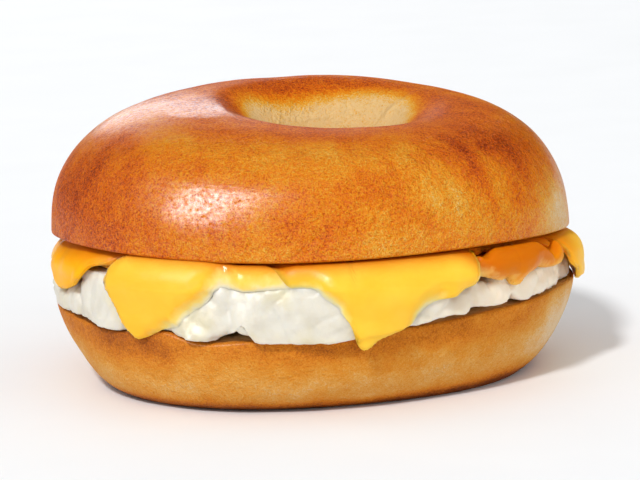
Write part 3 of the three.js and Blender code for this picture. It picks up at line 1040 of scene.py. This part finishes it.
# dark patches on the shoulders and round the crest, pale streaks at the right, cream down in the hole
crown_patches = [
    (0.32, -64, 0.22, 24, 0.42),
    (0.3, 56, 0.6, 20, 0.26),
    (-0.4, 70, 0.08, 15, 0.15),
    (-0.1, 32, 0.25, 6, 0.3),
    (-0.14, -6, 0.72, 26, 0.16),
]
bake = 0.55 + patches(bearing, sweep, crown_patches) + 0.16 * ease(0.65, 0.95, sweep)
bake += 0.1 * noise_at(places, 14, 44) + 0.08 * noise_at(places, 5, 45)
streaks = noise_at(np.column_stack([bearing / 4.5, sweep * 2.5, down]), 1, 48)
bake += 0.24 * streaks * bump_at(bearing, sweep, (42, 0.35), 30, 0.4)
pale = patches(bearing, down, [(1, 125, 0.3, 40, 1), (0.6, -122, 0.3, 30, 1)])
bake = np.where(dome, bake, 0.76 - 0.78 * ease(0.27 - 0.22 * pale, 0.56 - 0.2 * pale, down))
put_values(crown, "bake", np.clip(bake, 0, 1))
put_values(crown, "crust", np.where(cut, 1 - ease(0.1, 0.8, rim - crown_edge - radius), 1.0))
shine = full_gloss - 0.3 * bump_at(bearing, sweep, (-84, 0.15), 26, 0.35)
shine *= 1 - 0.9 * ease(0.6, 0.86, sweep) * (1 - bump_at(bearing, 0, (-74, 0), 32, 1))
put_values(crown, "gloss", np.where(cut, 0.0, shine * (1 - 0.8 * ease(0.1, 0.4, down))))
crown_browns = [
    (0.0, (0.86, 0.58, 0.26)),
    (0.25, (0.84, 0.42, 0.045)),
    (0.45, (0.82, 0.275, 0.005)),
    (0.6, (0.77, 0.185, 0.001)),
    (0.75, (0.66, 0.11, 0.001)),
    (0.9, (0.42, 0.05, 0.001)),
    (1.0, (0.2, 0.02, 0.001)),
]
crown.data.materials.append(bread("upper_crust", 1.0, 0.0006, crown_browns))
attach(crown, "root")
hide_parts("crown")

# Plain white floor of a studio, and its soft light: a wide sun high at the left of the camera,
# three soft boxes, and even white light from all round.
bpy.ops.object.select_all(action="DESELECT")
bpy.ops.mesh.primitive_circle_add(vertices=96, radius=6, fill_type="NGON", location=(0, 0, 0))
floor = bpy.context.object
floor.name = "floor"
white, tree, shader, spot = new_look("white_floor")
whites = [(0.3, (0.87, 0.885, 0.9)), (0.7, (0.885, 0.9, 0.915))]
tree.links.new(ramp_node(tree, noise_node(tree, spot, 30, 2), whites), shader.inputs["Base Color"])
set_inputs(shader, {"Roughness": 0.8, "Specular IOR Level": 0.1})
floor.data.materials.append(white)

studio = bpy.data.worlds.new("studio")
studio.use_nodes = True
set_inputs(studio.node_tree.nodes["Background"], {"Color": (1, 1, 1, 1), "Strength": 0.64})
studio.cycles_visibility.glossy = False
bpy.context.scene.world = studio


def lamp(name, azimuth, elevation, distance, size, power):
    """A soft box aimed at the bagel; azimuth 0 is the front and 90 the right."""
    light = bpy.data.lights.new(name, "AREA")
    light.shape = "RECTANGLE"
    light.size, light.size_y = size
    light.energy = power
    piece = bpy.data.objects.new(name, light)
    a = math.radians(azimuth)
    e = math.radians(elevation)
    away = Vector((math.cos(e) * math.sin(a), -math.cos(e) * math.cos(a), math.sin(e)))
    piece.location = Vector((0, 0, 0.03)) + away * distance
    piece.rotation_euler = away.to_track_quat("Z", "Y").to_euler()
    bpy.context.scene.collection.objects.link(piece)
    return piece


# The key casts the shadow. A soft box further to the left gives the crust its gloss, one at the
# back gives the crest its rim of light, and one at the right fills the shaded side.
key = bpy.data.lights.new("key", "SUN")
key.energy = 2.0
key.angle = math.radians(6)
sun = bpy.data.objects.new("key", key)
sun.rotation_euler = Vector((-0.27, -0.685, 0.676)).to_track_quat("Z", "Y").to_euler()
sun.visible_glossy = False
bpy.context.scene.collection.objects.link(sun)
gloss_lamp = lamp("soft_box", azimuth=-49, elevation=35, distance=1.6, size=(0.7, 1.1), power=125)
gloss_lamp.visible_diffuse = False
back_lamp = lamp("back_box", azimuth=-173, elevation=12, distance=1.6, size=(0.5, 0.35), power=3.6)
back_lamp.visible_diffuse = False
fill_lamp = lamp("fill_box", azimuth=66, elevation=12, distance=1.4, size=(1.0, 1.0), power=3)
fill_lamp.visible_glossy = False

# The camera looks from the front and a little above, and leans a little to one side.
lens = bpy.data.cameras.new("camera")
lens.lens = 213.75
lens.sensor_width = 36
camera = bpy.data.objects.new("camera", lens)
rise = math.radians(10.5)
roll = math.radians(1.96)
target = Vector((0.0009, 0.0009, 0.02705))
camera_distance = 0.8
back = Vector((0, -math.cos(rise), math.sin(rise)))
right = Vector((1, 0, 0))
up = Vector((0, math.sin(rise), math.cos(rise)))
across = right * math.cos(roll) - up * math.sin(roll)
above = up * math.cos(roll) + right * math.sin(roll)
pose = Matrix((across, above, back)).transposed().to_4x4()
pose.translation = target + back * camera_distance
camera.matrix_world = pose
bpy.context.scene.collection.objects.link(camera)
bpy.context.scene.camera = camera
bpy.context.scene.view_settings.view_transform = "Standard"
